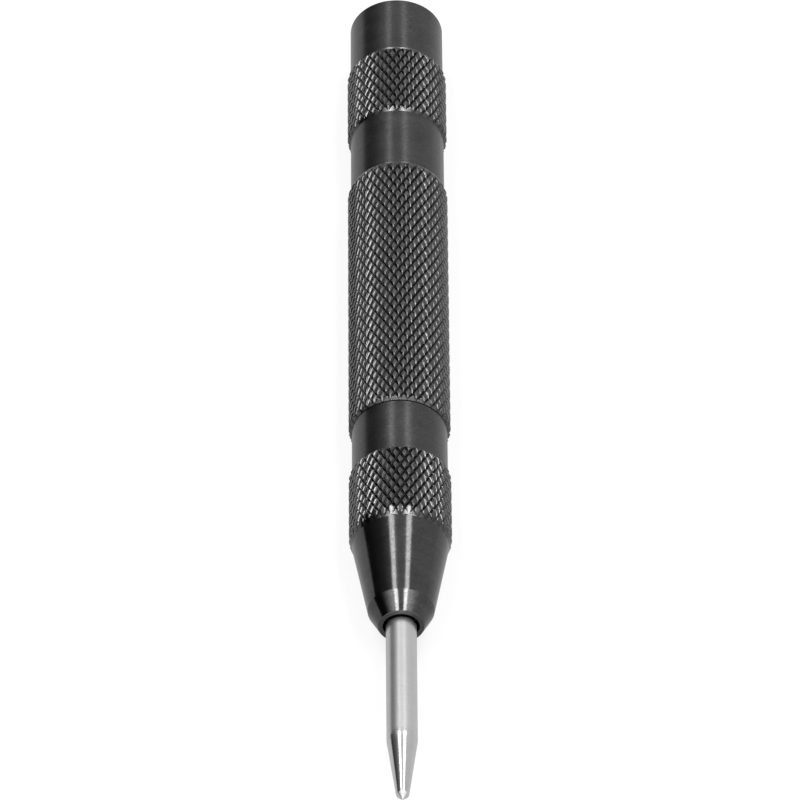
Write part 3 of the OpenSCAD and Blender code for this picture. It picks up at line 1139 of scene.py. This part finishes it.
class PUNCH_OT_springs(bpy.types.Operator):
    """Wind the main spring and the return spring"""

    bl_idname = "punch.springs"
    bl_label = "Springs"

    def execute(self, context):
        sizes = context.scene.punch_springs
        main_radius = radius_of("main_spring") - sizes.main_wire / 2
        self.wind(context, "main_coil", "main_spring", sizes.main_wire, sizes.main_turns, main_radius,
                  main_radius, "seat", "hammer_lift")
        return_radius = radius_of("return_spring") - sizes.return_wire / 2
        self.wind(context, "return_coil", "return_spring", sizes.return_wire, sizes.return_turns,
                  sizes.return_low, return_radius, "housing", "point_press")
        return {"FINISHED"}

    def wind(self, context, name, node, wire, turns, low_radius, high_radius, body, joint):
        """Winds one spring between the ends of its CAD node and lets it ride on its body."""
        sizes = context.scene.punch_springs
        low, high = span(node)
        piece = bpy.data.objects.new(name, bpy.data.meshes.new(name))
        context.scene.collection.objects.link(piece)
        values = {
            "Axis height": AXIS_Z,
            "Low end": low,
            "High end": high,
            "Low radius": low_radius,
            "High radius": high_radius,
            "Wire radius": wire / 2,
            "Turns": turns,
            "Close rise": wire + sizes.end_gap,
            "Finish": once(bpy.data.materials, SPRING_STEEL, spring_steel),
        }
        run_tree(context, piece, once(bpy.data.node_groups, "Spring coil", coil_tree), values)
        finish_piece(piece, body, node)
        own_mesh(piece)


class PUNCH_OT_mechanism(bpy.types.Operator):
    """Finish the pieces inside the tool, whose CAD shapes stay"""

    bl_idname = "punch.mechanism"
    bl_label = "Mechanism"

    def execute(self, context):
        material = once(bpy.data.materials, HARDENED_STEEL, hardened_steel)
        for node in ("plunger", "drive_pin", "release_bush", "hammer", "spring_seat"):
            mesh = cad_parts[node].data
            mesh.materials.clear()
            mesh.materials.append(material)
        return {"FINISHED"}


# Stage

WHITE = (1, 1, 1, 1)
SENSOR_WIDTH = 36
# Directions, from -1 to 1 along X or Y, between which the parts of the world fade
SKY_FADE = (-0.72, -0.2)
SKY_EDGE_FADE = (-0.9, -0.72)
GLOW_INNER_FADE = (0.2, 0.32)
GLOW_OUTER_FADE = (0.36, 0.92)
GLOW_FRONT_FADE = (-0.38, -0.15)
GLOW_REAR_FADE = (-0.02, 0.24)
LOW_FRONT_FADE = (-0.8, -0.35)


class PUNCH_OT_stage(bpy.types.Operator):
    """Set up the floor, lamps, world and camera"""

    bl_idname = "punch.stage"
    bl_label = "Stage"

    def execute(self, context):
        stage = context.scene.punch_stage
        context.scene.view_settings.view_transform = "Standard"
        self.lay_floor(context, stage)
        for side in (-1, 1):
            self.hang_lamp(context, f"key_{side:+d}", side * stage.key_offset, stage.key_front,
                           stage.key_rear, stage.key_radiance)
            self.hang_lamp(context, f"strip_{side:+d}", side * stage.strip_offset, stage.key_rear,
                           stage.strip_rear, stage.strip_radiance)
            self.hang_lamp(context, f"tail_{side:+d}", side * stage.tail_offset, stage.strip_rear,
                           stage.tail_rear, stage.tail_radiance)
        self.light_world(context, stage)
        self.aim_camera(context, stage)
        return {"FINISHED"}

    def lay_floor(self, context, stage):
        """A wide pale floor that keeps the tool's shadow."""
        mesh = bpy.data.meshes.new("floor")
        shape = bmesh.new()
        bmesh.ops.create_grid(shape, x_segments=1, y_segments=1, size=stage.floor_size)
        shape.to_mesh(mesh)
        shape.free()
        floor = bpy.data.objects.new("floor", mesh)
        context.scene.collection.objects.link(floor)
        material = bpy.data.materials.new("Pale floor")
        material.use_nodes = True
        tree = material.node_tree
        shader = tree.nodes["Principled BSDF"].inputs
        shader["Base Color"].default_value = stage.floor_colour
        shader["Roughness"].default_value = 0.9
        shader["Specular IOR Level"].default_value = 0.0
        shader["Emission Color"].default_value = WHITE
        path = outputs(tree, add_node(tree, "ShaderNodeLightPath"))
        shown = maths("ADD", path["Is Glossy Ray"], path["Is Transmission Ray"], clamp=True)
        light = path["Is Camera Ray"] * stage.floor_lift + shown * stage.floor_shine
        feed(shader["Emission Strength"], light)
        mesh.materials.append(material)

    def hang_lamp(self, context, name, offset, front, rear, radiance):
        """A long soft lamp overhead that faces the tool and runs along it."""
        height = context.scene.punch_stage.lamp_height
        light = bpy.data.lights.new(name, "AREA")
        light.shape = "RECTANGLE"
        light.size = context.scene.punch_stage.lamp_width
        light.size_y = rear - front
        light.energy = radiance * pi * light.size * light.size_y
        lamp = bpy.data.objects.new(name, light)
        lamp.location = (offset, (front + rear) / 2, height)
        lamp.rotation_euler = (0, atan2(offset, height), 0)
        context.scene.collection.objects.link(lamp)

    def light_world(self, context, stage):
        """A soft world with a dark left side, a glow beside the front lamps and a lighter front."""
        world = bpy.data.worlds.new("Studio")
        world.use_nodes = True
        tree = world.node_tree
        sideways, along, _ = parts(output(tree, "ShaderNodeTexCoord", key="Generated"))
        aside = maths("ABSOLUTE", sideways)
        sky = fade(sideways, SKY_FADE, stage.sky_dark, stage.sky_light)
        sky = sky * remap(sideways, *SKY_EDGE_FADE, stage.sky_edge)
        inner = fade(aside, GLOW_INNER_FADE)
        outer = fade(aside, GLOW_OUTER_FADE, stage.side_glow, 0.0)
        before = fade(along, GLOW_FRONT_FADE)
        behind = fade(along, GLOW_REAR_FADE, 1.0, 0.0)
        glow = (before * behind) * (inner * outer)
        front = fade(along, LOW_FRONT_FADE, stage.front_glow, 0.0)
        background = tree.nodes["Background"].inputs
        background["Color"].default_value = WHITE
        feed(background["Strength"], sky + (glow + front))
        context.scene.world = world

    def aim_camera(self, context, stage):
        """The photograph's view, from the point's end and from above."""
        camera = bpy.data.cameras.new("Camera")
        camera.lens = stage.lens
        camera.sensor_width = SENSOR_WIDTH
        camera.clip_start = 0.05
        camera.clip_end = 20
        viewer = bpy.data.objects.new("Camera", camera)
        target = Vector((stage.aside, stage.aim, AXIS_Z))
        back = Vector((0, -cos(stage.elevation), sin(stage.elevation)))
        viewer.location = target + back * stage.distance
        look = (-back).to_track_quat("-Z", "Y") @ Quaternion((0, 0, 1), stage.roll)
        viewer.rotation_euler = look.to_euler()
        context.scene.collection.objects.link(viewer)
        context.scene.camera = viewer


# Add-on

BUILD_STEPS = (PUNCH_OT_barrel, PUNCH_OT_nosepiece, PUNCH_OT_cap, PUNCH_OT_point, PUNCH_OT_springs,
               PUNCH_OT_mechanism, PUNCH_OT_stage)


class PUNCH_PT_build(bpy.types.Panel):
    """Lists the steps that build the centre punch"""

    bl_label = "Centre punch"
    bl_idname = "PUNCH_PT_build"
    bl_space_type = "VIEW_3D"
    bl_region_type = "UI"
    bl_category = "Centre punch"

    def draw(self, context):
        for step in BUILD_STEPS:
            self.layout.operator(step.bl_idname)
        for name, settings in SETTINGS.items():
            box = self.layout.box()
            box.label(text=settings.__name__)
            for key in settings.__annotations__:
                box.prop(getattr(context.scene, name), key)


def register():
    """Registers the settings, the steps and the panel."""
    for name, settings in SETTINGS.items():
        bpy.utils.register_class(settings)
        setattr(bpy.types.Scene, name, PointerProperty(type=settings))
    for step in (*BUILD_STEPS, PUNCH_PT_build):
        bpy.utils.register_class(step)


def unregister():
    """Takes back what register added."""
    for step in (*BUILD_STEPS, PUNCH_PT_build):
        bpy.utils.unregister_class(step)
    for name, settings in SETTINGS.items():
        delattr(bpy.types.Scene, name)
        bpy.utils.unregister_class(settings)


def main():
    """Builds the tool and its stage."""
    register()
    bpy.ops.punch.barrel()
    bpy.ops.punch.nosepiece()
    bpy.ops.punch.cap()
    bpy.ops.punch.point()
    bpy.ops.punch.springs()
    bpy.ops.punch.mechanism()
    bpy.ops.punch.stage()


if __name__ == "__main__":
    main()
